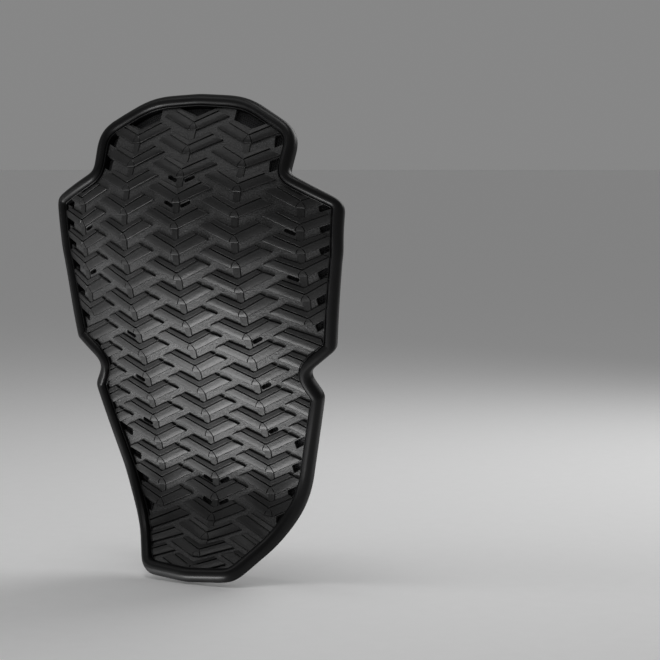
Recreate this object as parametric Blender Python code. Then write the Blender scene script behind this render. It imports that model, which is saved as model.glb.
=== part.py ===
"""Back protector insert: stacked chevrons on a vented web inside a rounded rim, with a soft liner behind.

+Z is up towards the head, -Y is the outside that carries the chevrons, +Y is the wearer's side.
Every piece is drawn on the unrolled plate and then laid on its curve: `across` is the distance
from the spine line, `up` the distance along it, `high` the height above the web's outer face.
"""

import math

import bmesh
import bpy
from mathutils import Vector

MM = 0.001

# Right half of the plate's outline, from the head end down: across, up, corner radius
OUTLINE = (
    (0.0000, 0.2478, 0.000),
    (0.0530, 0.2451, 0.080),
    (0.1125, 0.2138, 0.026),
    (0.1100, 0.1736, 0.008),
    (0.1655, 0.1504, 0.015),
    (0.1635, 0.0890, 0.120),
    (0.1475, -0.0035, 0.008),
    (0.1165, -0.0240, 0.009),
    (0.1298, -0.0456, 0.012),
    (0.1005, -0.1485, 0.150),
    (0.0512, -0.2350, 0.022),
    (0.0000, -0.2400, 0.000),
)
OUTLINE_STEP = 0.021
CORNER_STEPS = 3

# Side view: the spine line is a chain of tangent arcs, given as up and the slope there in degrees
SPINE = (
    (0.270, -25.1),
    (0.175, -25.1),
    (0.078, 12.7),
    (0.002, 21.8),
    (-0.119, 13.5),
    (-0.198, -45.6),
    (-0.270, -45.6),
)
SPINE_STEP = 0.002

# Top view: the plate wraps the back most at chest height, 1 / radius, and flattens to both ends
WRAP = 2.92
WRAP_AT = 0.088
WRAP_REACH = 0.138
WRAP_LEAST = 0.02

# Rim section: distance in from the outer edge, height
RIM = (
    (0.0000, -0.0045),
    (0.0000, 0.0010),
    (0.0009, 0.0042),
    (0.0033, 0.0064),
    (0.0062, 0.0070),
    (0.0091, 0.0062),
    (0.0107, 0.0042),
    (0.0110, 0.0016),
    (0.0124, 0.0012),
    (0.0124, -0.0045),
)
RIM_WIDTH = 0.0124
WEB_THICK = 0.0040
WEB_STEP = 0.013
WEB_COLUMNS = 10
END_TOP = 0.0022
END_BOTTOM = 0.0055
GAP = 0.00035
SHARP = math.radians(42)

# Joint lines between the six bodies, along the spine; each hinge axis lies this far behind
# the deepest corner of the rim and the liner there
JOINTS = (0.1745, 0.0762, -0.0250, -0.0995, -0.1722)
BODIES = ("head", "shoulder", "chest", "waist", "lumbar", "tail")
ROOT = BODIES.index("chest")
HINGE_BEHIND = 0.0005

# Chevron columns: distance from the spine line, and the row numbers shift by half a pitch in turn
COLUMN_PITCH = 0.0625
ROW_PITCH = 0.0239
ROW_SHRINK = 0.0003
SHRINK_FROM = 5
ROW_ZERO = 9
ROWS_SHIFT = -0.0018

# One arm of a double chevron: where each edge starts at the tip and ends, as across, up, and its height
ARM = (
    ((0.0040, 0.0000), (0.0364, 0.0145), GAP),
    ((0.0040, 0.0003), (0.0361, 0.0147), 0.0024),
    ((0.0032, 0.0034), (0.0320, 0.0168), 0.0038),
    ((0.0004, 0.0076), (0.0248, 0.0195), 0.0029),
    ((0.0004, 0.0080), (0.0244, 0.0198), 0.0050),
    ((0.0004, 0.0134), (0.0202, 0.0219), 0.0034),
    ((0.0004, 0.0142), (0.0196, 0.0223), GAP),
)
CURVED_WRAP = 1.2
STUB_DEPTH = 0.0074
RIM_CLEARANCE = 0.0008
CLEAR_LOW = -0.0005
CLEAR_HIGH = 0.0090

# Link tab under each tip, running into the next chevron's upper bar
TAB_WIDTH = 0.0075
TAB_LOW = 0.00050
TAB_HIGH = 0.0018
TAB_START = 0.0020
TAB_END = 0.0122

# Vent slots beside a tip, parallel to the arm above
SLOT_LENGTH = 0.0115
SLOT_WIDTH = 0.0036
SLOT_ACROSS = 0.0095
SLOT_UP = -0.0006
SLOT_TILT = math.atan2(0.0145, 0.0324)

# Side vents between the outer arms and the rim
VENT_WIDTH = 0.0095
VENT_HEIGHT = 0.0068
VENT_BELOW = 0.0009

# Notch vents at the head end, between an upper bar's back edge and the rim
NOTCH_CORNER = 0.0150
NOTCH_SIDE = (0.0205, 0.0232)
NOTCH_TOP = 0.0320

# Liner behind the web and the rim: distance in from the outer edge, front and back faces
LINER_INSET = 0.0050
LINER_FRONT = -0.0052
LINER_BACK = -0.0072
LINER_STEP = 0.020
LINER_COLUMNS = 8

# Flat land on the wearer's side of the chest liner
LAND_UP = 0.0265
LAND_WIDTH = 0.044
LAND_HEIGHT = 0.030
LAND_RISE = 0.0012


def clear_scene():
    """Removes everything in the start-up scene."""
    for obj in list(bpy.data.objects):
        bpy.data.objects.remove(obj, do_unlink=True)


def new_collection(name, hidden=False):
    """A collection linked to the scene; a hidden one is left out of renders."""
    found = bpy.data.collections.new(name)
    bpy.context.scene.collection.children.link(found)
    found.hide_render = hidden
    return found


def material(name, colour, roughness, grain):
    """A near-black material with a fine procedural grain."""
    found = bpy.data.materials.new(name)
    found.use_nodes = True
    nodes = found.node_tree.nodes
    links = found.node_tree.links
    shader = nodes["Principled BSDF"]
    shader.inputs["Base Color"].default_value = (*colour, 1.0)
    shader.inputs["Roughness"].default_value = roughness
    noise = nodes.new("ShaderNodeTexNoise")
    noise.inputs["Scale"].default_value = grain
    bump = nodes.new("ShaderNodeBump")
    bump.inputs["Strength"].default_value = 0.25
    links.new(noise.outputs["Fac"], bump.inputs["Height"])
    links.new(bump.outputs["Normal"], shader.inputs["Normal"])
    return found


def between(stops, at):
    """The value at `at` on a line through stops given in falling order."""
    for (upper, first), (lower, second) in zip(stops, stops[1:]):
        if at >= lower:
            return first + (second - first) * (upper - at) / (upper - lower)
    return stops[-1][1]


def spine_line():
    """Points (up, Y, Z, slope) down the spine line, with Y = Z = 0 where up is zero."""
    points = []
    y = z = 0.0
    up = SPINE[0][0]
    while up >= SPINE[-1][0]:
        slope = math.radians(between(SPINE, up))
        points.append((up, y, z, slope))
        y += math.sin(slope) * SPINE_STEP
        z -= math.cos(slope) * SPINE_STEP
        up -= SPINE_STEP
    nearest = min(points, key=lambda point: abs(point[0]))
    return [(p[0], p[1] - nearest[1], p[2] - nearest[2], p[3]) for p in points]


SPINE_LINE = spine_line()


def spine_at(up):
    """(Y, Z, slope) of the spine line at this distance along it."""
    index = int((SPINE_LINE[0][0] - up) / SPINE_STEP)
    index = max(0, min(index, len(SPINE_LINE) - 2))
    first, second = SPINE_LINE[index], SPINE_LINE[index + 1]
    share = (first[0] - up) / SPINE_STEP
    return [a + (b - a) * share for a, b in zip(first[1:], second[1:])]


def wrap_at(up):
    """The plate's curvature across the spine at this height, as 1 / radius."""
    return WRAP * math.exp(-(((up - WRAP_AT) / WRAP_REACH) ** 2)) + WRAP_LEAST


def place(across, up, high):
    """Lays a point of the unrolled plate on its curve."""
    y, z, slope = spine_at(up)
    wrap = wrap_at(up)
    angle = wrap * across
    inward = (1 - math.cos(angle)) / wrap - high * math.cos(angle)
    x = math.sin(angle) / wrap + high * math.sin(angle)
    return Vector((x, y + inward * math.cos(slope), z + inward * math.sin(slope)))


def row_up(row):
    """How far up the spine the tip of a chevron row is; half numbers are the rows between."""
    shrink = max(0.0, row - SHRINK_FROM)
    start = max(0.0, ROW_ZERO - SHRINK_FROM)
    length = ROW_PITCH * row - ROW_SHRINK * shrink**2 / 2
    zero = ROWS_SHIFT + ROW_PITCH * ROW_ZERO - ROW_SHRINK * start**2 / 2
    return zero - length


def crossing(first, second):
    """Where two lines, each a point and a direction, meet."""
    (p, d), (q, e) = first, second
    share = ((q - p).x * e.y - (q - p).y * e.x) / (d.x * e.y - d.y * e.x)
    return p + d * share


def inset_line(inset):
    """The right half of the outline moved in by `inset`, with rounded corners, from head to tail."""
    corners = [Vector(point[:2]) for point in OUTLINE]
    edges = []
    for a, b in zip(corners, corners[1:]):
        d = (b - a).normalized()
        edges.append((a + Vector((d.y, -d.x)) * inset, d))
    middle = (Vector((0, 0)), Vector((0, 1)))
    moved = [crossing(edges[0], middle)]
    moved += [crossing(a, b) for a, b in zip(edges, edges[1:])]
    moved.append(crossing(edges[-1], middle))
    line = [moved[0]]
    for i in range(1, len(corners)):
        end = moved[i]
        arc = []
        if i < len(corners) - 1:
            d, e = edges[i - 1][1], edges[i][1]
            turn = d.cross(e)
            radius = OUTLINE[i][2] + math.copysign(inset, turn)
            tangent = max(radius, 0.0015) * math.tan(d.angle(e) / 2)
            arc = rounded(end - d * tangent, end, end + e * tangent)
            end = arc[0]
        steps = max(1, round((corners[i] - corners[i - 1]).length / OUTLINE_STEP))
        start = line[-1]
        line += [start.lerp(end, n / steps) for n in range(1, steps)]
        line += arc or [end]
    return line


def rounded(start, corner, end):
    """A corner drawn as a short curve through the two tangent points."""
    points = []
    for n in range(CORNER_STEPS + 1):
        s = n / CORNER_STEPS
        points.append(start * (1 - s) ** 2 + corner * 2 * s * (1 - s) + end * s**2)
    return points


RIM_LINES = [inset_line(inset) for inset, high in RIM]
WEB_LINE = inset_line(RIM_WIDTH + GAP)
STUB_LINE = inset_line(STUB_DEPTH)
CLEAR_LINE = inset_line(RIM_WIDTH + RIM_CLEARANCE)
LINER_LINE = inset_line(LINER_INSET)


def half_width(line, up):
    """How far across a line of the outline is at this height; zero beyond its ends."""
    if up > line[0].y or up < line[-1].y:
        return 0.0
    for a, b in zip(line, line[1:]):
        if b.y <= up:
            return a.x + (b.x - a.x) * (a.y - up) / max(a.y - b.y, 1e-9)
    return 0.0


def add_loft(mesh, rings):
    """Adds one closed body: a skin through the rings and a cap on each end."""
    loops = [[mesh.verts.new(place(*point)) for point in ring] for ring in rings]
    for first, second in zip(loops, loops[1:]):
        for n, vert in enumerate(first):
            after = (n + 1) % len(first)
            mesh.faces.new((vert, first[after], second[after], second[n]))
    mesh.faces.new(loops[0][::-1])
    mesh.faces.new(loops[-1])


def hinge_point(line):
    """A joint line's hinge axis runs along X through this point, behind everything on the line."""
    up = JOINTS[line]
    slope = spine_at(up)[2]
    inward = Vector((0, math.cos(slope), math.sin(slope)))
    start = place(0, up, 0)
    corners = (
        place(half_width(RIM_LINES[0], up), up, RIM[0][1]),
        place(half_width(LINER_LINE, up), up, LINER_BACK),
    )
    deepest = max((corner - start).dot(inward) for corner in corners)
    return start + inward * (deepest + HINGE_BEHIND)


def make_hinges(collection):
    """An empty on each hinge axis, nested as the bodies hang on one another out from the chest."""
    hinges = {}
    outward = list(range(ROOT - 1, -1, -1)) + list(range(ROOT + 1, len(BODIES)))
    for body in outward:
        above = body < ROOT
        hinge = bpy.data.objects.new(f"hinge_{BODIES[body]}", None)
        collection.objects.link(hinge)
        hinge.location = hinge_point(body if above else body - 1)
        hinges[body] = hinge
        inner = hinges.get(body + 1 if above else body - 1)
        if inner:
            hang(hinge, inner)
    return hinges


def hang(obj, hinge):
    """Parents an object to a hinge and leaves it where it is."""
    bpy.context.view_layer.update()
    obj.parent = hinge
    obj.matrix_parent_inverse = hinge.matrix_world.inverted()


def new_object(name, bodies, collection, mat=None):
    """An object made of closed bodies, each a list of rings on the unrolled plate."""
    work = bmesh.new()
    for rings in bodies:
        add_loft(work, rings)
    bmesh.ops.recalc_face_normals(work, faces=work.faces)
    mesh = bpy.data.meshes.new(name)
    work.to_mesh(mesh)
    work.free()
    obj = bpy.data.objects.new(name, mesh)
    collection.objects.link(obj)
    if mat:
        mesh.materials.append(mat)
        mesh.shade_smooth()
        mesh.set_sharp_from_angle(angle=SHARP)
    else:
        obj.hide_render = True
        obj.display_type = "WIRE"
    return obj


def boolean(obj, other, operation, solver="EXACT"):
    """Joins a hidden helper to an object, or cuts it out of it."""
    modifier = obj.modifiers.new(operation.lower(), "BOOLEAN")
    modifier.object = other
    modifier.operation = operation
    modifier.solver = solver


def span(body, line=WEB_LINE):
    """(top, bottom) of a body's sheet along the spine, each short of its joint line or of its outline."""
    top = line[0].y - END_TOP if body == 0 else JOINTS[body - 1] - GAP / 2
    bottom = line[-1].y + END_BOTTOM if body == len(JOINTS) else JOINTS[body] + GAP / 2
    return top, bottom


def body_at(up):
    """The number of the body that this height is on."""
    return sum(up < joint for joint in JOINTS)


def body_of(row):
    """The body that a chevron row's tip stands on."""
    return body_at(row_up(row))


def mirrored(ring):
    return [(-across, up, high) for across, up, high in ring]


def rim_cut(up):
    """The rim's section at a joint line."""
    return [(half_width(line, up), up, high) for line, (_, high) in zip(RIM_LINES, RIM)]


def rim_rings(body):
    """The right side's rim sections of one body, from the top down."""
    top, bottom = span(body)
    if body == 0:
        top = 1.0
    if body == len(JOINTS):
        bottom = -1.0
    rings = []
    for points in zip(*RIM_LINES):
        ups = [point.y for point in points]
        if max(ups) < top - 2 * MM and min(ups) > bottom + 2 * MM:
            rings.append([(p.x, p.y, high) for p, (_, high) in zip(points, RIM)])
    if body > 0:
        rings.insert(0, rim_cut(top))
    if body < len(JOINTS):
        rings.append(rim_cut(bottom))
    return rings


def buried(tip, end, column, up, side):
    """Where along an arm's edge, as a share of its length, it comes out of the rim."""
    low, high = -0.5, 1.0
    for _ in range(24):
        middle = (low + high) / 2
        across = column + side * (tip[0] + (end[0] - tip[0]) * middle)
        height = up + tip[1] + (end[1] - tip[1]) * middle
        if abs(across) < half_width(STUB_LINE, height):
            high = middle
        else:
            low = middle
    return high


def arm_rings(column, up, side, stub=False):
    """Sections of one arm from the tip out; a stub starts in the rim and stays on its own body."""
    ceiling = span(body_at(up))[0] - GAP if stub else 1.0
    steps = 2 if wrap_at(up) > CURVED_WRAP else 1
    rings = []
    for n in range(steps + 1):
        ring = []
        for tip, end, high in ARM:
            start = buried(tip, end, column, up, side) if stub else 0.0
            share = start + (1 - start) * n / steps
            across = column + side * (tip[0] + (end[0] - tip[0]) * share)
            height = up + tip[1] + (end[1] - tip[1]) * share
            ring.append((across, min(height, ceiling), high))
        rings.append(ring)
    return rings


def chevron(column, row):
    """Both arms of a double chevron as one run of sections."""
    up = row_up(row)
    return arm_rings(column, up, -1)[::-1] + arm_rings(column, up, 1)


def tab(column, row):
    """The link tab from one tip into the chevron below."""
    top = row_up(row) + TAB_START
    bottom = row_up(row + 1) + TAB_END
    half = TAB_WIDTH / 2
    rings = []
    for up in (top, (top + bottom) / 2, bottom):
        rings.append(
            [
                (column - half, up, TAB_LOW),
                (column + half, up, TAB_LOW),
                (column + half * 0.8, up, TAB_HIGH),
                (column - half * 0.8, up, TAB_HIGH),
            ]
        )
    return rings


def slot(column, row, side):
    """A rounded vent slot under an arm, beside the tip."""
    up = row_up(row) + SLOT_UP
    across = column + side * SLOT_ACROSS
    straight = (SLOT_LENGTH - SLOT_WIDTH) / 2
    ring = []
    for end in (1, -1):
        for turn in (-90, -30, 30, 90):
            angle = math.radians(turn)
            x = end * (straight + SLOT_WIDTH / 2 * math.cos(angle))
            y = end * SLOT_WIDTH / 2 * math.sin(angle)
            ring.append((x, y))
    tilt = side * SLOT_TILT
    plan = []
    for x, y in ring:
        x, y = x * math.cos(tilt) - y * math.sin(tilt), x * math.sin(tilt) + y * math.cos(tilt)
        plan.append((across + x, up + y))
    return [[(x, y, high) for x, y in plan] for high in (0.004, -WEB_THICK - 0.004)]


def vent(column, row, side):
    """A side vent under an outer arm, open to the rim's inner edge."""
    tip_up = row_up(row)
    start = side * (half_width(WEB_LINE, tip_up + 0.004) - VENT_WIDTH)
    if abs(start) < abs(column) + 0.004:
        start = column + side * 0.004
    outer = start + side * (VENT_WIDTH + 0.020)
    plan = []
    for across, below in (
        (start, VENT_BELOW),
        (outer, VENT_BELOW),
        (outer, VENT_BELOW + VENT_HEIGHT),
        (start + side * 0.0015, VENT_BELOW + VENT_HEIGHT),
    ):
        rise = (abs(across - column) - 0.004) * math.tan(SLOT_TILT)
        plan.append((across, tip_up + rise - below))
    return [[(x, y, high) for x, y in plan] for high in (0.004, -WEB_THICK - 0.004)]


def notch(column, row):
    """An opening behind a chevron at the head end, from its upper bar back under the rim."""
    up = row_up(row)
    across, side_up = NOTCH_SIDE
    plan = [
        (column, up + NOTCH_CORNER),
        (column + across, up + side_up),
        (column + across, up + NOTCH_TOP),
        (column - across, up + NOTCH_TOP),
        (column - across, up + side_up),
    ]
    return [[(x, y, high) for x, y in plan] for high in (0.004, -WEB_THICK - 0.004)]


def sheet_rings(body, line, low, high, step=WEB_STEP, columns=WEB_COLUMNS):
    """Sections of one body's share of a sheet, from its top edge down."""
    top, bottom = span(body, line)
    return [sheet_ring(line, up, low, high, columns) for up in stations(top, bottom, line, step)]


def stations(top, bottom, line, step):
    """Heights for a sheet's sections: every bend of its outline between its ends, and steps between."""
    bends = [point.y for point in line if bottom + MM < point.y < top - MM]
    ups = [top]
    for up in bends + [bottom]:
        if ups[-1] - up < MM:
            continue
        steps = math.ceil((ups[-1] - up) / step)
        start = ups[-1]
        ups += [start + (up - start) * (n + 1) / steps for n in range(steps)]
    return ups


def sheet_ring(line, up, low, high, columns=WEB_COLUMNS):
    """A thin section right across the plate, following its wrap."""
    half = half_width(line, up)
    steps = [half * (2 * n / columns - 1) for n in range(columns + 1)]
    ring = [(across, up, high) for across in steps]
    return ring + [(across, up, low) for across in reversed(steps)]


def clear_rings():
    """The room inside the rim, which the chevrons are trimmed to."""
    ups = [CLEAR_LINE[0].y - 0.0015]
    for point in CLEAR_LINE:
        if point.y < ups[-1] - 0.0015:
            ups.append(point.y)
    return [sheet_ring(CLEAR_LINE, up, CLEAR_LOW, CLEAR_HIGH) for up in ups[:-1]]


def land(collection):
    """The flat land's block, square to the spine line where it stands."""
    mesh = bpy.data.meshes.new("land_helper")
    work = bmesh.new()
    bmesh.ops.create_cube(work, size=1.0)
    deep = (LINER_FRONT - LINER_BACK) / 2 + LAND_RISE
    bmesh.ops.scale(work, vec=(LAND_WIDTH, deep, LAND_HEIGHT), verts=work.verts)
    work.to_mesh(mesh)
    work.free()
    obj = bpy.data.objects.new("land_helper", mesh)
    collection.objects.link(obj)
    obj.hide_render = True
    obj.display_type = "WIRE"
    obj.location = place(0, LAND_UP, LINER_BACK - LAND_RISE + deep / 2)
    obj.rotation_euler.x = spine_at(LAND_UP)[2]
    return obj


def columns_of(row):
    """Column numbers that a row has, from -2 on the left to 2 on the right."""
    if row != int(row):
        return (-1, 1)
    return (-2, 0, 2)


def whole(column, row):
    """Whether a chevron's tip stands inside the rim."""
    up = row_up(row)
    room = half_width(WEB_LINE, up + 0.001) - abs(column) * COLUMN_PITCH
    return room > 0.0065 and up < WEB_LINE[0].y - 0.018


def reaches_rim(column, row):
    """Whether a chevron's arms run into the rim and have to be trimmed."""
    up = row_up(row)
    for tip, end, high in ARM:
        outer = abs(column) + end[0] + RIM_CLEARANCE
        if outer > half_width(CLEAR_LINE, up + end[1]):
            return True
    return False


def has_stub(column, row):
    """Whether the rim hides the tip and only the inner arm shows."""
    if abs(column) == 2:
        return 9 <= row <= 13
    return abs(column) == 1 and row >= 17


SIDES = {-2: "far_left", -1: "left", 0: "centre", 1: "right", 2: "far_right"}
ROWS = [n / 2 for n in range(0, 41)]
SLOTS = (
    [(0, row, side) for row in (2, 3, 15, 16) for side in (-1, 1)]
    + [(side, row, side) for row in (8.5, 10.5, 12.5) for side in (-1, 1)]
    + [(2 * side, row, -side) for row in (4, 6) for side in (-1, 1)]
)
VENTS = [(side, row) for row in (0.5, 1.5, 13.5, 14.5, 15.5, 16.5) for side in (-1, 1)]
VENTS += [(2 * side, row) for row in (3, 4, 5, 6, 7, 8) for side in (-1, 1)]
NOTCHES = [(0, 0), (-1, 0.5), (1, 0.5)]


def make_webs(parts, cutters, mat):
    """The web panel of each body, with its slots and side vents cut through."""
    for body, name in enumerate(BODIES):
        rings = sheet_rings(body, WEB_LINE, -WEB_THICK, 0.0)
        panel = new_object(f"web_{name}", [rings], parts, mat)
        cuts = [
            slot(column * COLUMN_PITCH, row, side)
            for column, row, side in SLOTS
            if body_of(row) == body
        ]
        cuts += [
            vent(column * COLUMN_PITCH, row, math.copysign(1, column))
            for column, row in VENTS
            if body_of(row) == body
        ]
        if body == 0:
            cuts += [notch(column * COLUMN_PITCH, row) for column, row in NOTCHES]
        if cuts:
            cutter = new_object(f"vents_{name}", cuts, cutters)
            boolean(panel, cutter, "DIFFERENCE")


def make_liners(parts, cutters, mat):
    """The soft liner of each body, with the flat land on the chest's."""
    for body, name in enumerate(BODIES):
        rings = sheet_rings(body, LINER_LINE, LINER_BACK, LINER_FRONT, LINER_STEP, LINER_COLUMNS)
        liner = new_object(f"liner_{name}", [rings], parts, mat)
        if body == ROOT:
            boolean(liner, land(cutters), "UNION")


def make_rims(parts, cutters, mat):
    """The rim of each body: an arch at the head, a bow at the tail and two sides between."""
    last = len(BODIES) - 1
    for body, name in enumerate(BODIES):
        right = rim_rings(body)
        left = [mirrored(ring) for ring in right]
        stubs = {-1: [], 1: []}
        for row in ROWS:
            for column in columns_of(row):
                if column and has_stub(column, row) and body_of(row) == body:
                    side = 1 if column > 0 else -1
                    place_at = column * COLUMN_PITCH
                    stubs[side].append(arm_rings(place_at, row_up(row), -side, True))
        if body == 0:
            runs = {"": left[:0:-1] + right}
        elif body == last:
            runs = {"": right[:-1] + left[::-1]}
        else:
            runs = {"_left": left, "_right": right}
        for suffix, rings in runs.items():
            piece = new_object(f"rim_{name}{suffix}", [rings], parts, mat)
            wanted = {"_left": stubs[-1], "_right": stubs[1]}
            more = wanted.get(suffix, stubs[-1] + stubs[1])
            if more:
                helper = new_object(f"stubs_{name}{suffix}", more, cutters)
                boolean(piece, helper, "UNION", "MANIFOLD")  # EXACT loses one of these rims


def make_chevrons(parts, cutters, mat):
    """One chain of chevrons for each column of each body, joined by its link tabs."""
    room = new_object("room_in_rim", [clear_rings()], cutters)
    for body, name in enumerate(BODIES):
        for number, side in SIDES.items():
            column = number * COLUMN_PITCH
            rows = [
                row
                for row in ROWS
                if number in columns_of(row)
                and body_of(row) == body
                and whole(number, row)
                and not has_stub(number, row)
            ]
            if abs(number) == 2:
                rows = [row for row in rows if 3 <= row <= 9]
            if not rows:
                continue
            bodies = [chevron(column, row) for row in rows]
            chain = new_object(f"chevrons_{name}_{side}", bodies, parts, mat)
            if any(reaches_rim(column, row) for row in rows):
                boolean(chain, room, "INTERSECT")
            tabs = [tab(column, row) for row in rows[:-1]]
            if tabs:
                helper = new_object(f"tabs_{name}_{side}", tabs, cutters)
                boolean(chain, helper, "UNION")


def main():
    clear_scene()
    parts = new_collection("back_protector")
    cutters = new_collection("cutters", hidden=True)
    web = material("web_elastomer", (0.020, 0.020, 0.021), 0.62, 900.0)
    ribs = material("chevron_elastomer", (0.013, 0.013, 0.014), 0.55, 1400.0)
    rim = material("rim_elastomer", (0.010, 0.010, 0.011), 0.42, 1800.0)
    lining = material("liner_mesh", (0.016, 0.016, 0.017), 0.85, 500.0)
    make_webs(parts, cutters, web)
    make_rims(parts, cutters, rim)
    make_chevrons(parts, cutters, ribs)
    make_liners(parts, cutters, lining)
    hinges = make_hinges(parts)
    for piece in parts.objects:
        body = piece.name.split("_")[1]
        if piece.type == "MESH" and body != BODIES[ROOT]:
            hang(piece, hinges[BODIES.index(body)])


main()
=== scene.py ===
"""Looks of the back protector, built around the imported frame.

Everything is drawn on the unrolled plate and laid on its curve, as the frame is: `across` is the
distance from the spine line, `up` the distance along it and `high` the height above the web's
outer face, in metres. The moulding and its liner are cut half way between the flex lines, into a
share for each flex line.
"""

import math

import bmesh
import bpy
import numpy as np
from mathutils import Matrix, Vector
from mathutils.geometry import delaunay_2d_cdt


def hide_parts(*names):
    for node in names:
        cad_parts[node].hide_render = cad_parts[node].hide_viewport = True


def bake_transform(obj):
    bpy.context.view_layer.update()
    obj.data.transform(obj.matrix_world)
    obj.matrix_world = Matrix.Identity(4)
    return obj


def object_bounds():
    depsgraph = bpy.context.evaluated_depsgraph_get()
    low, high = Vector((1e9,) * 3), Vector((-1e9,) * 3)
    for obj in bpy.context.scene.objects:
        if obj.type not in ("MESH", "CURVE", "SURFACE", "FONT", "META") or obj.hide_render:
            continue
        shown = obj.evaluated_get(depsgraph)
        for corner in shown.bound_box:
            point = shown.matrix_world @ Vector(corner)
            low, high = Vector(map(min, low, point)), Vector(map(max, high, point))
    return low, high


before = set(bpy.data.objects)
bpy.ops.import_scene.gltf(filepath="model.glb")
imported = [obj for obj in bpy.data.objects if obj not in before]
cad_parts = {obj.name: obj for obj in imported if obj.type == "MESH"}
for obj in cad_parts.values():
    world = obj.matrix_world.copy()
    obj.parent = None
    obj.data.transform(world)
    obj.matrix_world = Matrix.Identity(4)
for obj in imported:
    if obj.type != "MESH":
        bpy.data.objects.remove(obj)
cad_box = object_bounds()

# The plate's outline from the head end down: across, up, corner radius
OUTLINE = (
    (0.0000, 0.2478, 0.000),
    (0.0530, 0.2451, 0.080),
    (0.1125, 0.2138, 0.026),
    (0.1100, 0.1736, 0.008),
    (0.1655, 0.1504, 0.015),
    (0.1635, 0.0890, 0.120),
    (0.1475, -0.0035, 0.008),
    (0.1165, -0.0240, 0.009),
    (0.1298, -0.0456, 0.012),
    (0.1005, -0.1485, 0.150),
    (0.0512, -0.2350, 0.022),
    (0.0000, -0.2400, 0.000),
)
OUTLINE_STEP = 0.0035
CORNER_STEPS = 9
SMOOTHINGS = 6

# The least radius of a moved corner, and the most of a side that the rounding of a corner takes
LEAST_RADIUS = 0.0015
CORNER_SHARE = 0.45

# The spine line, up and slope in degrees, and the wrap round the back
SPINE = (
    (0.270, -25.1),
    (0.175, -25.1),
    (0.078, 12.7),
    (0.002, 21.8),
    (-0.119, 13.5),
    (-0.198, -45.6),
    (-0.270, -45.6),
)
SPINE_STEP = 0.002
WRAP = 2.92
WRAP_AT = 0.088
WRAP_REACH = 0.138
WRAP_LEAST = 0.02

# Flex lines: name, place along the spine, body above, body below
FLEX = (
    ("neck", 0.1745, "head", "shoulder"),
    ("thorax", 0.0762, "shoulder", "chest"),
    ("waist", -0.0250, "chest", "waist"),
    ("lumbar", -0.0995, "waist", "lumbar"),
    ("tail", -0.1722, "lumbar", "tail"),
)
CUTS = [(a[1] + b[1]) / 2 for a, b in zip(FLEX, FLEX[1:])]

# Rim section: distance in from the outer edge, height, corner radius
RIM = (
    (0.0000, -0.0045, 0.0011),
    (0.0000, 0.0010, 0.0022),
    (0.0009, 0.0042, 0.0022),
    (0.0033, 0.0064, 0.0024),
    (0.0062, 0.0070, 0.0026),
    (0.0091, 0.0062, 0.0020),
    (0.0106, 0.0040, 0.0014),
    (0.0110, 0.0015, 0.0003),
    (0.0111, 0.0021, 0.0003),
    (0.0115, 0.0027, 0.0005),
    (0.0121, 0.0027, 0.0005),
    (0.0124, 0.0021, 0.0004),
    (0.0124, -0.0045, 0.0004),
)
RIM_WIDTH = 0.0124
RIM_ROUND = 3
WEB_THICK = 0.0040
WEB_UNDER_RIM = 0.0030
VENT_UNDER_RIM = 0.0014

# Sheets: the step and the row height of their grid, how many steps it keeps off the edges, how close
# points merge, and the rounded edge of a hole
SHEET_STEP = 0.0042
SHEET_ROW = SHEET_STEP * 0.87
EDGE_CLEAR = 0.45
MERGE_DISTANCE = 1e-7
EDGE_ROUND = 0.0006
EDGE_PART = 0.3 * EDGE_ROUND

# Edges that turn by more than this many degrees stay sharp
RIM_SHARP = 60
WEB_SHARP = 50
LINER_SHARP = 60
RIB_SHARP = 38

# Chevron columns and rows: the pitch between columns, and rows that shrink towards the tail
COLUMN_PITCH = 0.0625
ROW_PITCH = 0.0239
ROW_SHRINK = 0.0003
SHRINK_FROM = 5
ROW_ZERO = 9
ROWS_SHIFT = -0.0018
LAST_ROW = 20
ROWS = [n / 2 for n in range(2 * LAST_ROW + 1)]
SIDES = {-2: "far_left", -1: "left", 0: "centre", 1: "right", 2: "far_right"}

# Which chevrons are whole: the room a tip needs beside the rim and below the head, and the outer
# columns' rows. Which are stubs under the rim: the outer columns' rows, and the inner ones' first
TIP_ABOVE = 0.001
TIP_ROOM = 0.0065
HEAD_ROOM = 0.018
OUTER_ROWS = (3, 9)
OUTER_STUBS = (9, 13)
INNER_STUBS = 17
CHEVRON_MIDDLE = 0.010

# One arm of a double chevron: each edge at the tip and at the end, its height and its rounding,
# and which edges the crease at the tip presses in. The ribs stand lower than the frame's.
RIB_FOOT = -0.0006
ARM = (
    ((0.0040, 0.0017), (0.0360, 0.0159), RIB_FOOT, 0.0000),
    ((0.0040, 0.0015), (0.0360, 0.0157), 0.0004, 0.0001),
    ((0.0040, 0.0001), (0.0363, 0.0146), 0.0006, 0.0003),
    ((0.0040, 0.0004), (0.0361, 0.0148), 0.0018, 0.0005),
    ((0.0032, 0.0034), (0.0320, 0.0168), 0.0023, 0.0012),
    ((0.0004, 0.0071), (0.0255, 0.0190), 0.0023, 0.0003),
    ((0.0004, 0.0073), (0.0253, 0.0191), 0.0006, 0.0001),
    ((0.0004, 0.0083), (0.0246, 0.0197), 0.0006, 0.0001),
    ((0.0004, 0.0085), (0.0243, 0.0199), 0.0025, 0.0004),
    ((0.0004, 0.0134), (0.0202, 0.0219), 0.0019, 0.0006),
    ((0.0004, 0.0141), (0.0197, 0.0222), RIB_FOOT, 0.0000),
)
ARM_CREASED = (0, 0, 1, 1, 1, 0, 0, 0, 0, 0, 0)

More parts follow.
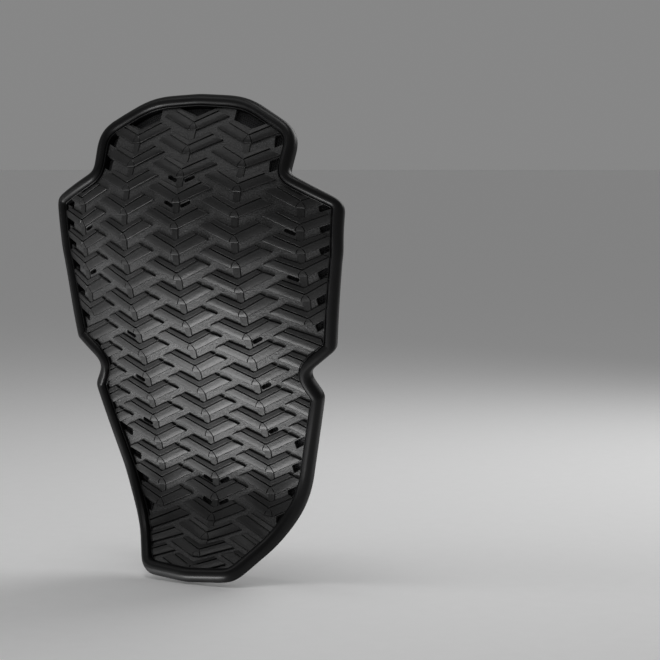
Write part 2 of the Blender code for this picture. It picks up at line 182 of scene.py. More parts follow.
# An arm's length and the steps along it, the steps round its edges, the least share of it that is
# drawn, and the share of it that has to show for its end to be a free one
ARM_LENGTH = 0.034
ARM_STEP = 0.005
ARM_ROUND = 4
ARM_LEAST = 0.02
ARM_FREE = 0.999
CREASE_DEPTH = 0.0007
CREASE_WIDE = 0.0010

# How far in from the outer edge a stub starts, and where and how finely that place is looked for
STUB_DEPTH = 0.0074
BEFORE_TIP = -0.5
SHARE_COUNT = 151

# Sections of an arm's free end: how far back and how far down, in END_ROUND
END_ROUND = 0.0006
END_SECTIONS = ((1.6, 0.0), (0.7, 0.25), (0.15, 0.7), (0.0, 1.3))

# Link tab under each tip, and its section: share of its half width, height
TAB_WIDTH = 0.0075
TAB_HIGH = 0.0008
TAB_START = 0.0020
TAB_END = 0.0122
TAB_STEPS = 4
TAB_SECTION = (
    (-1.0, RIB_FOOT),
    (-0.96, TAB_HIGH * 0.6),
    (-0.86, TAB_HIGH),
    (0.86, TAB_HIGH),
    (0.96, TAB_HIGH * 0.6),
    (1.0, RIB_FOOT),
)

# Vent slots beside a tip
SLOT_LENGTH = 0.0115
SLOT_WIDTH = 0.0036
SLOT_ACROSS = 0.0095
SLOT_UP = -0.0006
SLOT_TILT = math.atan2(0.0145, 0.0324)
SLOT_ROUND = 9

# Side vents at the rim: size, place, corner, slant of the inner edge and the narrowest one that is cut.
# Those of the head's first rows are taller
VENT_WIDTH = 0.0095
VENT_HEIGHT = 0.0068
VENT_BELOW = 0.0009
VENT_CORNER = 0.0013
VENT_ROUND = 4
VENT_UP = 0.004
VENT_FROM = 0.004
VENT_SLANT = 0.0015
VENT_LEAST = 0.0035
VENT_TRIES = 12
HEAD_VENT = 0.0115
HEAD_ROWS = 2

# Openings behind the chevrons at the head end: height over the tip, half width, rise, least height
NOTCH_CORNER = 0.0150
NOTCH_ACROSS = 0.0205
NOTCH_RISE = 0.0082
NOTCH_LEAST = 0.0012
NOTCH_STEPS = 21
HEAD_HALF = 0.1020

# Where the openings are: column, row and, for a slot, its side of the tip
SLOTS = (
    [(0, row, side) for row in (2, 3, 15, 16) for side in (-1, 1)]
    + [(side, row, side) for row in (8.5, 10.5, 12.5) for side in (-1, 1)]
    + [(2 * side, row, -side) for row in (4, 6) for side in (-1, 1)]
)
VENTS = [(side, row) for row in (0.5, 1.5, 13.5, 14.5, 15.5, 16.5) for side in (-1, 1)]
VENTS += [(2 * side, row) for row in (3, 4, 5, 6, 7, 8) for side in (-1, 1)]
NOTCHES = [(0, 0), (-1, 0.5), (1, 0.5)]

# Liner: distance in from the outer edge, faces, pressed border and flex grooves
LINER_INSET = 0.0050
LINER_FRONT = -0.0052
LINER_BACK = -0.0072
LINER_BORDER = 0.0050
BORDER_BACK = -0.0062
GROOVE_WIDE = 0.0030
GROOVE_DEEP = 0.0010
GROOVE_FADE = 0.004
LINER_STEP = SHEET_STEP * 1.1

# Rings from the liner's wearer face round to its front: distance in from its edge, height
LINER_RINGS = (
    (LINER_BORDER * 0.86, LINER_BACK + 0.0002),
    (LINER_BORDER * 0.74, BORDER_BACK - 0.0001),
    (LINER_BORDER * 0.66, BORDER_BACK),
    (0.0006, BORDER_BACK),
    (0.0001, BORDER_BACK + 0.0003),
    (0.0000, LINER_FRONT - 0.0003),
    (0.0004, LINER_FRONT),
)

# The camera: its direction, distance, lens and sensor, and its aim right of and above the origin
AZIMUTH = math.radians(32)
ELEVATION = math.radians(4.47)
DISTANCE = 2.1753
LENS = 127.6
SENSOR = 36.0
AIM_RIGHT = 0.1281
AIM_UP = 0.0169

# Square lamps: name, azimuth and elevation in degrees, side, power. Azimuth 0 is square to the front
# and 90 its +X side. The low ones stand for light that a bright floor throws back.
LAMPS = (
    ("front_low", -36, -52, 0.40, 19.0),
    ("left_low", -62, -46, 0.5, 11.0),
    ("front_bounce", -34, -26, 0.6, 1.0),
    ("side_bounce", -64, -16, 0.6, 3.5),
    ("upper_left", -45, 50, 0.5, 1.6),
    ("overhead", 0, 80, 0.6, 5.0),
    ("back", 165, 35, 1.2, 9.0),
)
LAMP_DISTANCE = 1.6
WORLD_LIGHT = 0.24
FLOOR_RADIUS = 40.0
FLOOR_SIDES = 96
FLOOR_GAP = 0.0005
FLOOR_DARK = (0.90, 0.90, 0.90)
FLOOR_PALE = (0.93, 0.93, 0.93)
FLOOR_GRAIN = 60.0

# Elastomer: its noises' grain in features per metre, their shares in its height, colour and roughness,
# the part of the mix that the colour spreads over, and how far the roughness swings
CLOUD_GRAIN = 24.0
COARSER = 3.1
FINE_HEIGHT = 0.65
COARSE_HEIGHT = 0.55
CLOUD_TONE = 0.25
FINE_TONE = 0.75
FINE_WEAR = 0.5
TONE_RANGE = (0.40, 0.68)
ROUGH_RANGE = (0.5, 1.0)
ROUGH_BELOW = 0.05
ROUGH_ABOVE = 0.07

# The liner's knit: the pitch of its holes and of its yarn, the yarn's grain and height, and its colours:
# painted shade in the holes, and the yarn's own colour
HOLE_PITCH = 0.0027
YARN_PITCH = 0.0007
YARN_GRAIN = 2600.0
YARN_RIDGES = 0.12
YARN_HEIGHT = 0.35
KNIT_DEPTH = 0.0005
KNIT_HOLE_SHADE = (0.0022, 0.0022, 0.0024)
KNIT_LIGHT = (0.026, 0.026, 0.028)


# ---------------------------------------------------------------- the plate's shape


def spine_table():
    """Arrays of up, Y, Z and slope down the spine line, in rising order of up, zero where up is zero."""
    ups = np.arange(SPINE[0][0], SPINE[-1][0] - SPINE_STEP / 2, -SPINE_STEP)
    stops = np.array(SPINE[::-1])
    slopes = np.radians(np.interp(ups, stops[:, 0], stops[:, 1]))
    y = np.concatenate([[0], np.cumsum(np.sin(slopes[:-1]) * SPINE_STEP)])
    z = np.concatenate([[0], np.cumsum(-np.cos(slopes[:-1]) * SPINE_STEP)])
    zero = np.argmin(np.abs(ups))
    return ups[::-1], (y - y[zero])[::-1], (z - z[zero])[::-1], slopes[::-1]


SPINE_UP, SPINE_Y, SPINE_Z, SPINE_SLOPE = spine_table()


def place(points):
    """Lays plate points (across, up, high) on the protector's curve."""
    points = np.asarray(points, float).reshape(-1, 3)
    across, up, high = points.T
    slope = np.interp(up, SPINE_UP, SPINE_SLOPE)
    wrap = WRAP * np.exp(-(((up - WRAP_AT) / WRAP_REACH) ** 2)) + WRAP_LEAST
    angle = wrap * across
    inward = (1 - np.cos(angle)) / wrap - high * np.cos(angle)
    x = np.sin(angle) / wrap + high * np.sin(angle)
    y = np.interp(up, SPINE_UP, SPINE_Y) + inward * np.cos(slope)
    z = np.interp(up, SPINE_UP, SPINE_Z) + inward * np.sin(slope)
    return np.stack([x, y, z], axis=1)


def row_up(row):
    """How far up the spine the tip of a chevron row is; half numbers are the rows between."""
    shrink = max(0.0, row - SHRINK_FROM)
    start = ROW_ZERO - SHRINK_FROM
    length = ROW_PITCH * row - ROW_SHRINK * shrink**2 / 2
    return ROWS_SHIFT + ROW_PITCH * ROW_ZERO - ROW_SHRINK * start**2 / 2 - length


def crossing(first, second):
    """Where two lines, each a point and a direction, meet."""
    (p, d), (q, e) = first, second
    share = ((q - p).x * e.y - (q - p).y * e.x) / (d.x * e.y - d.y * e.x)
    return p + d * share


def curve_through(start, corner, end, steps):
    """A rounded corner from one tangent point to the other."""
    shares = np.linspace(0, 1, steps + 1)
    return [start * (1 - s) ** 2 + corner * 2 * s * (1 - s) + end * s**2 for s in shares]


def inset_line(inset):
    """The right half of the outline moved in by `inset`, head to tail, as an array of across, up."""
    corners = [Vector(point[:2]) for point in OUTLINE]
    edges = []
    for a, b in zip(corners, corners[1:]):
        d = (b - a).normalized()
        edges.append((a + Vector((d.y, -d.x)) * inset, d))
    middle = (Vector((0, 0)), Vector((0, 1)))
    moved = [crossing(edges[0], middle)]
    moved += [crossing(a, b) for a, b in zip(edges, edges[1:])]
    moved.append(crossing(edges[-1], middle))
    line = [moved[0]]
    for i in range(1, len(corners)):
        end = moved[i]
        arc = []
        if i < len(corners) - 1:
            d, e = edges[i - 1][1], edges[i][1]
            radius = max(OUTLINE[i][2] + math.copysign(inset, d.cross(e)), LEAST_RADIUS)
            tangent = radius * math.tan(d.angle(e) / 2)
            arc = curve_through(end - d * tangent, end, end + e * tangent, CORNER_STEPS)
            end = arc[0]
        steps = max(1, round((corners[i] - corners[i - 1]).length / OUTLINE_STEP))
        start = line[-1]
        line += [start.lerp(end, n / steps) for n in range(1, steps)]
        line += arc or [end]
    return smoothed(np.array([tuple(point) for point in line]))


def both_sides(line):
    """The whole outline as a closed loop, from its right half."""
    return np.concatenate([line[:0:-1] * [-1, 1], line[:-1]])


def smoothed(line):
    """A half outline with its bends softened; its two ends stay on the spine line."""
    whole = both_sides(line)
    for _ in range(SMOOTHINGS):
        whole = (np.roll(whole, 1, 0) + 2 * whole + np.roll(whole, -1, 0)) / 4
    half = len(line) - 1
    return np.concatenate([whole[half:], [[0, whole[0, 1]]]])


def half_width(line, up):
    """How far across a line of the outline is at these heights; zero beyond its ends."""
    return np.interp(up, line[::-1, 1], line[::-1, 0], left=0.0, right=0.0)


RIM_INNER = inset_line(RIM_WIDTH)
STUB_LINE = inset_line(STUB_DEPTH)
WEB_LINE = inset_line(RIM_WIDTH - WEB_UNDER_RIM)
VENT_LINE = inset_line(RIM_WIDTH - VENT_UNDER_RIM)
LINER_FACE = inset_line(LINER_INSET + LINER_BORDER)


def region_of(up):
    """The number of the flex line whose share of the protector this height is in."""
    return sum(up < cut for cut in CUTS)


# ---------------------------------------------------------------- making pieces


def new_mesh(name, points, faces):
    """A smooth mesh from plate points, which it also keeps as an attribute for its materials."""
    points = np.asarray(points, float).reshape(-1, 3)
    mesh = bpy.data.meshes.new(name)
    mesh.from_pydata(place(points).tolist(), [], faces)
    plate = mesh.attributes.new("plate", "FLOAT_VECTOR", "POINT")
    plate.data.foreach_set("vector", points.astype(np.float32).ravel())
    mesh.shade_smooth()
    return mesh


def face_out(mesh):
    """Turns a closed mesh's faces outwards."""
    work = bmesh.new()
    work.from_mesh(mesh)
    bmesh.ops.recalc_face_normals(work, faces=work.faces)
    work.to_mesh(mesh)
    work.free()


def weighted(mesh, sharp_degrees):
    """The mesh with sharp edges marked and its flat faces kept flat beside their rounded edges."""
    mesh.set_sharp_from_angle(angle=math.radians(sharp_degrees))
    obj = bpy.data.objects.new("weighting", mesh)
    bpy.context.scene.collection.objects.link(obj)
    modifier = obj.modifiers.new("weighted", "WEIGHTED_NORMAL")
    modifier.keep_sharp = True
    modifier.weight = 60
    found = bpy.data.meshes.new_from_object(obj.evaluated_get(bpy.context.evaluated_depsgraph_get()))
    bpy.data.objects.remove(obj)
    return found


def add_piece(name, mesh, mat):
    mesh.materials.clear()
    mesh.materials.append(mat)
    mesh.name = name
    obj = bpy.data.objects.new(name, mesh)
    bpy.context.scene.collection.objects.link(obj)
    return obj


def split(mesh, cell_of, mat):
    """Cuts a mesh into pieces by each face's cell, keeping the whole mesh's normals at the cuts."""
    normals = np.empty(len(mesh.loops) * 3, np.float32)
    mesh.corner_normals.foreach_get("vector", normals)
    normals = normals.reshape(-1, 3)
    plate = np.empty(len(mesh.vertices) * 3, np.float32)
    mesh.attributes["plate"].data.foreach_get("vector", plate)
    plate = plate.reshape(-1, 3)
    cells = {}
    for polygon in mesh.polygons:
        cells.setdefault(cell_of(plate[list(polygon.vertices)].mean(axis=0)), []).append(polygon)
    pieces = {}
    for cell, polygons in sorted(cells.items()):
        used = sorted({v for polygon in polygons for v in polygon.vertices})
        index = {v: n for n, v in enumerate(used)}
        faces = [[index[v] for v in polygon.vertices] for polygon in polygons]
        part = new_mesh(cell, plate[used], faces)
        loops = [loop for polygon in polygons for loop in polygon.loop_indices]
        part.normals_split_custom_set(normals[loops].tolist())
        pieces[cell] = add_piece(cell, part, mat)
    return pieces


def bend(piece, nodes):
    """Bakes a piece's placement into its mesh and hides the frame's nodes that it stands for."""
    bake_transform(piece)
    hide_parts(*nodes)
    return piece


def bodies_in(region):
    """The bodies whose nodes a region's pieces stand for."""
    _, _, above, below = FLEX[region]
    if region == 0:
        return (above,)
    return (above, below) if region == 1 else (below,)


def nodes_like(start, region, side=""):
    """The frame's nodes of this kind on a region's bodies, on one side where they have sides."""
    found = []
    for body in bodies_in(region):
        for node in (f"{start}_{body}{side}", f"{start}_{body}"):
            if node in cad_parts:
                found.append(node)
                break
    return found


# ---------------------------------------------------------------- rim


def rounded_section(section, steps):
    """A closed section with each corner rounded by its own radius."""
    points = [Vector(corner[:2]) for corner in section]
    found = []
    for n, corner in enumerate(points):
        before, after = points[n - 1], points[(n + 1) % len(points)]
        radius = section[n][2]
        ends = []
        for other in (before, after):
            side = other - corner
            ends.append(corner + side.normalized() * min(radius, side.length * CORNER_SHARE))
        found += curve_through(ends[0], corner, ends[1], steps)
    return found


def make_rim(mat):
    """The rounded rim with its inner bead, as one ring cut into a share for each flex line."""
    section = rounded_section(RIM, RIM_ROUND)
    rings = []
    for inset, high in section:
        ring = both_sides(inset_line(inset))
        rings.append(np.column_stack([ring, np.full(len(ring), high)]))
    count, around = len(rings), len(rings[0])
    faces = []
    for i in range(count):
        j = (i + 1) % count
        for n in range(around):
            m = (n + 1) % around
            faces.append((i * around + n, i * around + m, j * around + m, j * around + n))
    mesh = new_mesh("rim", np.concatenate(rings), faces)
    face_out(mesh)
    outer = rings[0]
    ring_cells = [rim_cell(outer[n], outer[(n + 1) % around]) for n in range(around)]
    cells = iter(ring_cells * count)
    pieces = split(weighted(mesh, RIM_SHARP), lambda centre: next(cells), mat)
    for cell, piece in pieces.items():
        name, _, side = cell[4:].partition("_")
        region = [flex[0] for flex in FLEX].index(name)
        bend(piece, nodes_like("rim", region, "_" + side))


def rim_cell(first, second):
    """The name of the rim piece that a step round the ring belongs to."""
    middle = (first + second) / 2
    region = region_of(middle[1])
    if region in (0, len(FLEX) - 1):
        return f"rim_{FLEX[region][0]}"
    return f"rim_{FLEX[region][0]}_{'left' if middle[0] < 0 else 'right'}"


# ---------------------------------------------------------------- web and liner


def slot_loop(column, row, side):
    """The outline of a rounded vent slot beside a tip."""
    turns = np.radians(np.linspace(-90, 90, SLOT_ROUND))
    straight = (SLOT_LENGTH - SLOT_WIDTH) / 2
    right = np.column_stack([straight + SLOT_WIDTH / 2 * np.cos(turns), SLOT_WIDTH / 2 * np.sin(turns)])
    loop = np.concatenate([right, -right])
    tilt = side * SLOT_TILT
    turn = np.array([[math.cos(tilt), math.sin(tilt)], [-math.sin(tilt), math.cos(tilt)]])
    return loop @ turn + [column + side * SLOT_ACROSS, row_up(row) + SLOT_UP]


def notch_loop(column, row):
    """An opening behind a chevron at the head end, from its upper bar back under the rim."""
    low = row_up(row) + NOTCH_CORNER
    head = VENT_LINE[(VENT_LINE[:, 1] > low) & (VENT_LINE[:, 0] < HEAD_HALF)]
    across = np.linspace(-NOTCH_ACROSS, NOTCH_ACROSS, NOTCH_STEPS)
    bottom = low + np.abs(across) / NOTCH_ACROSS * NOTCH_RISE
    top = np.interp(np.abs(column + across), head[:, 0], head[:, 1])
    open_at = top - bottom > NOTCH_LEAST
    across, bottom, top = across[open_at] + column, bottom[open_at], top[open_at]
    return np.concatenate([np.column_stack([across, bottom]), np.column_stack([across, top])[::-1]])


def vent_loop(column, row, side):
    """The outline of a side vent, from beside the chevrons to under the rim, or None if too narrow."""
    tip = row_up(row)
    high = HEAD_VENT if row < HEAD_ROWS else VENT_HEIGHT
    start = float(half_width(RIM_INNER, tip + VENT_UP)) - VENT_WIDTH
    start = max(start, abs(column) + VENT_FROM)

    def rise(across):
        return tip + (across - abs(column) - VENT_FROM) * math.tan(SLOT_TILT) - VENT_BELOW

    def outer(drop):
        across = start + VENT_WIDTH
        for _ in range(VENT_TRIES):
            across = float(half_width(VENT_LINE, rise(across) - drop))
        return across

    top, bottom = outer(0), outer(high)
    corners = [
        (start, rise(start)),
        (start + VENT_SLANT, rise(start) - high),
        (bottom, rise(bottom) - high),
        (top, rise(top)),
    ]
    if min(top, bottom) - start < VENT_LEAST:
        return None
    loop = rounded_section([(x, y, VENT_CORNER) for x, y in corners], VENT_ROUND)
    return np.array([(side * x, y) for x, y in loop])


def loop_area(loop):
    x, y = loop.T
    return 0.5 * float(np.sum(x * np.roll(y, -1) - y * np.roll(x, -1)))


def anticlockwise(loop):
    return loop if loop_area(loop) > 0 else loop[::-1]


def grown(loop, by):
    """A closed loop moved outwards."""
    loop = anticlockwise(loop)
    forward = np.roll(loop, -1, 0) - loop
    forward /= np.linalg.norm(forward, axis=1)[:, None]
    normal = np.column_stack([forward[:, 1], -forward[:, 0]])
    normal = normal + np.roll(normal, 1, 0)
    normal /= np.linalg.norm(normal, axis=1)[:, None]
    return loop + normal * by


def inside(points, loop):
    """Which points are inside a closed loop."""
    x, y = points.T
    found = np.zeros(len(points), bool)
    for (x1, y1), (x2, y2) in zip(loop, np.roll(loop, -1, 0)):
        crosses = (y1 > y) != (y2 > y)
        with np.errstate(divide="ignore", invalid="ignore"):
            found ^= crosses & (x < (x2 - x1) * (y - y1) / (y2 - y1) + x1)
    return found


def clearance(points, loops):
    """Each point's distance to the nearest loop's line."""
    best = np.full(len(points), 1.0)
    for loop in loops:
        for a, b in zip(loop, np.roll(loop, -1, 0)):
            d = b - a
            length = max(float(d @ d), 1e-12)
            share = np.clip((points - a) @ d / length, 0, 1)
            best = np.minimum(best, np.linalg.norm(points - a - share[:, None] * d, axis=1))
    return best


def grid(rows, step, outline):
    """Points in staggered rows inside the outline."""
    found = []
    for n, up in enumerate(rows):
        half = float(half_width(outline, up))
        count = int(half / step)
        shift = 0.5 * (n % 2)
        found += [((k + shift) * step, up) for k in range(-count - 1, count + 1)]
    return np.array(found)


def filled(outline, holes, rows, step):
    """Triangles over the outline with the holes left open: points, faces, and where each loop starts."""
    whole = anticlockwise(both_sides(outline))
    loops = [whole] + [anticlockwise(hole) for hole in holes]
    points = grid(rows, step, outline)
    points = points[inside(points, whole)]
    points = points[clearance(points, loops) > EDGE_CLEAR * step]
    for hole in loops[1:]:
        points = points[~inside(points, hole)]
    cut_points, edges, starts, total = [], [], [], 0
    for loop in loops:
        starts.append(total)
        edges += [(total + n, total + (n + 1) % len(loop)) for n in range(len(loop))]
        cut_points.append(loop)
        total += len(loop)
    everything = np.concatenate(cut_points + [points])
    made = delaunay_2d_cdt([Vector(p) for p in everything], edges, [], 1, MERGE_DISTANCE)
    verts = np.array([tuple(v) for v in made[0]])
    faces = np.array([face for face in made[2]])
    centres = verts[faces].mean(axis=1)
    keep = inside(centres, whole)
    for hole in loops[1:]:
        keep &= ~inside(centres, hole)
    origin = {}
    for new, old in enumerate(made[3]):
        for index in old:
            origin[index] = new
    rims = []
    for loop, start in zip(loops, starts):
        rims.append([origin[start + n] for n in range(len(loop))])
    return verts, faces[keep], rims


def rows_between(low, high, step, fixed=()):
    """Heights from low to high about a step apart, passing through the fixed ones."""
    stops = sorted({low, high, *fixed})
    rows = []
    for a, b in zip(stops, stops[1:]):
        count = max(1, round((b - a) / step))
        rows += [a + (b - a) * n / count for n in range(count)]
    return rows


def walls(chains):
    """Quads between one closed chain of vertex numbers and the next."""
    faces = []
    for first, second in zip(chains, chains[1:]):
        for n in range(len(first)):
            m = (n + 1) % len(first)
            faces.append((first[n], first[m], second[m], second[n]))
    return faces


def sheet_mesh(name, outline, holes, front, back, rows, step):
    """A closed sheet with rounded holes through it."""
    open_holes = [grown(hole, EDGE_ROUND) for hole in holes]
    verts, faces, rims = filled(outline, open_holes, rows, step)
    count = len(verts)
    points = [np.column_stack([verts, np.full(count, front)])]
    points.append(np.column_stack([verts, np.full(count, back)]))
    faces = [tuple(face) for face in faces] + [tuple(count + v for v in face[::-1]) for face in faces]
    total = 2 * count
    for hole, rim in zip(holes, rims[1:]):
        chains = [rim]
        for by, high in (
            (EDGE_PART, front - EDGE_PART),
            (0.0, front - EDGE_ROUND),
            (0.0, back + EDGE_ROUND),
            (EDGE_PART, back + EDGE_PART),
        ):
            ring = grown(hole, by)
            points.append(np.column_stack([ring, np.full(len(ring), high)]))
            chains.append(list(range(total, total + len(ring))))
            total += len(ring)
        chains.append([count + v for v in rim])
        faces += walls(chains)
    faces += walls([rims[0], [count + v for v in rims[0]]])
    mesh = new_mesh(name, np.concatenate(points), faces)
    face_out(mesh)
    return mesh


def make_web(mat):
    """The vented web, cut into a share for each flex line."""
    holes = [slot_loop(column * COLUMN_PITCH, row, side) for column, row, side in SLOTS]
    for column, row in VENTS:
        loop = vent_loop(column * COLUMN_PITCH, row, math.copysign(1, column))
        if loop is not None:
            holes.append(loop)
    holes += [notch_loop(column * COLUMN_PITCH, row) for column, row in NOTCHES]
    rows = rows_between(WEB_LINE[-1, 1], WEB_LINE[0, 1], SHEET_ROW)
    mesh = weighted(sheet_mesh("web", WEB_LINE, holes, 0.0, -WEB_THICK, rows, SHEET_STEP), WEB_SHARP)
    pieces = split(mesh, lambda centre: f"web_{FLEX[region_of(centre[1])][0]}", mat)
    for region, flex in enumerate(FLEX):
        bend(pieces[f"web_{flex[0]}"], nodes_like("web", region))


def liner_back(across, up):
    """The height of the liner's wearer face, pressed in along the flex lines."""
    near = np.min([np.abs(up - flex[1]) for flex in FLEX], axis=0)
    edge = half_width(LINER_FACE, up) - np.abs(across)
    fade = np.clip(edge / GROOVE_FADE, 0, 1)
    groove = np.clip(1 - near / (GROOVE_WIDE / 2), 0, 1)
    return LINER_BACK + GROOVE_DEEP * groove * fade


def make_liner(mat):
    """The soft liner behind the web, with a pressed border, cut into a share for each flex line."""
    half = GROOVE_WIDE / 2
    grooves = [flex[1] + shift for flex in FLEX for shift in (-half, 0, half)]
    rows = rows_between(LINER_FACE[-1, 1], LINER_FACE[0, 1], SHEET_STEP, grooves)
    verts, faces, rims = filled(LINER_FACE, [], rows, LINER_STEP)
    count = len(verts)
    high = liner_back(verts[:, 0], verts[:, 1])
    points = [np.column_stack([verts, high]), np.column_stack([verts, np.full(count, LINER_FRONT)])]
    faces = [tuple(face) for face in faces] + [tuple(count + v for v in face[::-1]) for face in faces]
    total = 2 * count
    chains = [rims[0]]
    for inset, height in LINER_RINGS:
        ring = anticlockwise(both_sides(inset_line(LINER_INSET + inset)))
        points.append(np.column_stack([ring, np.full(len(ring), height)]))
        chains.append(list(range(total, total + len(ring))))
        total += len(ring)
    chains.append([count + v for v in rims[0]])
    faces += walls(chains)
    mesh = new_mesh("liner", np.concatenate(points), faces)
    face_out(mesh)
    mesh = weighted(mesh, LINER_SHARP)
    pieces = split(mesh, lambda centre: f"liner_{FLEX[region_of(centre[1])][0]}", mat)
    for region, flex in enumerate(FLEX):
        piece = bend(pieces[f"liner_{flex[0]}"], nodes_like("liner", region))


# ---------------------------------------------------------------- chevrons


def arm_profile():
    """The edges along an arm, with each corner rounded: tip across, up, end across, up, height, crease."""
    corners = [np.array([*tip, *end, high]) for tip, end, high, _ in ARM]
    found = []
    for n, corner in enumerate(corners):
        radius = ARM[n][3]
        if not radius:
            found.append(np.append(corner, ARM_CREASED[n]))
            continue
        sides = []
        for other in (corners[n - 1], corners[n + 1]):
            step = other - corner
            length = math.hypot(step[1], step[4])
            sides.append(corner + step * min(radius / length, CORNER_SHARE))
        for point in curve_through(sides[0], corner, sides[1], ARM_ROUND):
            found.append(np.append(point, ARM_CREASED[n]))
    return np.array(found)


PROFILE = arm_profile()


def arm_point(column, up, side, edge, share):
    """A point on an arm's edge, a share of the way from its tip to its end."""
    across = column + side * (edge[0] + (edge[2] - edge[0]) * share)
    return across, up + edge[1] + (edge[3] - edge[1]) * share


def share_inside(column, up, side, edge, from_tip):
    """Where along an arm its edge is clear of the rim, seen from before its tip or from its end."""
    shares = np.linspace(BEFORE_TIP, 1, SHARE_COUNT)
    if not from_tip:
        shares = np.linspace(1, BEFORE_TIP, SHARE_COUNT)
    across, height = arm_point(column, up, side, edge, shares)
    within = np.abs(across) < half_width(STUB_LINE, height)
    first = int(np.argmax(within)) if within.any() else len(shares) - 1
    return float(shares[first])


def arm_rings(column, up, side, stub):
    """Sections along one arm, tip to end, with the crease at the tip and a rounded free end."""
    starts = np.zeros(len(PROFILE))
    ends = np.ones(len(PROFILE))
    for n, edge in enumerate(PROFILE):
        if stub:
            starts[n] = share_inside(column, up, side, edge, True)
        ends[n] = share_inside(column, up, side, edge, False)
    ends = np.maximum(ends, starts + ARM_LEAST)
    steps = round(ARM_LENGTH / ARM_STEP)
    stops = [(0.0, 0.0, 0.0)]
    if not stub:
        wide = CREASE_WIDE / ARM_LENGTH
        stops += [(wide / 2, 0.0, 1.0), (wide, 0.0, 0.0)]
    stops += [(n / steps, 0.0, 0.0) for n in range(1, steps)]
    if ends.min() < ARM_FREE:
        stops.append((1.0, 0.0, 0.0))
    else:
        stops += [(1 - back * END_ROUND / ARM_LENGTH, drop, 0.0) for back, drop in END_SECTIONS]
    rings = []
    for share, drop, crease in stops:
        ring = []
        for n, edge in enumerate(PROFILE):
            along = starts[n] + (ends[n] - starts[n]) * share
            across, height = arm_point(column, up, side, edge, along)
            high = edge[4] - drop * END_ROUND - crease * edge[5] * CREASE_DEPTH
            ring.append((across, height, max(high, RIB_FOOT)))
        rings.append(ring)
    rings.append([(across, height, RIB_FOOT) for across, height, _ in rings[-1]])
    if stub:
        rings.insert(0, [(across, height, RIB_FOOT) for across, height, _ in rings[0]])
    return rings


def loft(rings):
    """Points and faces of a skin over open sections, closed underneath."""
    width = len(rings[0])
    points = [point for ring in rings for point in ring]
    faces = []
    for i in range(len(rings) - 1):
        for n in range(width):
            m = (n + 1) % width
            faces.append((i * width + n, i * width + m, (i + 1) * width + m, (i + 1) * width + n))
    faces.append(tuple(range(width)))
    faces.append(tuple(range((len(rings) - 1) * width, len(rings) * width)))
    return points, faces


def tab(column, row):
    """The link tab from one tip down to the next chevron."""
    top, bottom = row_up(row) + TAB_START, row_up(row + 1) + TAB_END
    half = TAB_WIDTH / 2
    rings = []
    for n in range(TAB_STEPS + 1):
        up = top + (bottom - top) * n / TAB_STEPS
        rings.append([(column + x * half, up, high) for x, high in TAB_SECTION])
    return rings


def columns_of(row):
    """Column numbers that a row has, from -2 on the left to 2 on the right."""
    return (-1, 1) if row != int(row) else (-2, 0, 2)


def is_whole(column, row):
    """Whether a chevron's tip stands inside the rim."""
    up = row_up(row)
    room = float(half_width(RIM_INNER, up + TIP_ABOVE)) - abs(column) * COLUMN_PITCH
    if room <= TIP_ROOM or up >= RIM_INNER[0, 1] - HEAD_ROOM:
        return False
    return abs(column) < 2 or OUTER_ROWS[0] <= row <= OUTER_ROWS[1]


def has_stub(column, row):
    """Whether the rim hides the tip and only the inner arm shows."""
    if abs(column) == 2:
        return OUTER_STUBS[0] <= row <= OUTER_STUBS[1]
    return (abs(column) == 1 and row >= INNER_STUBS) or (column == 0 and row == LAST_ROW)


def make_chevrons(mat):
    """The double chevrons, grouped by flex line and column."""
    groups = {}
    for row in ROWS:
        for number in columns_of(row):
            column, up = number * COLUMN_PITCH, row_up(row)
            cell = (region_of(up + CHEVRON_MIDDLE), number)
            if has_stub(number, row):
                sides = [-1, 1] if number == 0 else [-1 if number > 0 else 1]
                if number == 0 or up > RIM_INNER[-1, 1]:
                    stubs = [arm_rings(column, up, side, True) for side in sides]
                    groups.setdefault(cell, []).extend(stubs)
            elif is_whole(number, row):
                left = arm_rings(column, up, -1, False)
                right = arm_rings(column, up, 1, False)
                groups.setdefault(cell, []).append(left[::-1] + right)
                if is_whole(number, row + 1) and not has_stub(number, row + 1):
                    groups[cell].append(tab(column, row))
    for (region, number), bodies in sorted(groups.items()):
        points, faces = [], []
        for rings in bodies:
            more, skin = loft(rings)
            faces += [tuple(len(points) + v for v in face) for face in skin]
            points += more
        name = f"chevrons_{FLEX[region][0]}_{SIDES[number]}"
        mesh = new_mesh(name, points, faces)
        face_out(mesh)
        piece = add_piece(name, weighted(mesh, RIB_SHARP), mat)
        bend(piece, nodes_like("chevrons", region, "_" + SIDES[number]))


# ---------------------------------------------------------------- materials


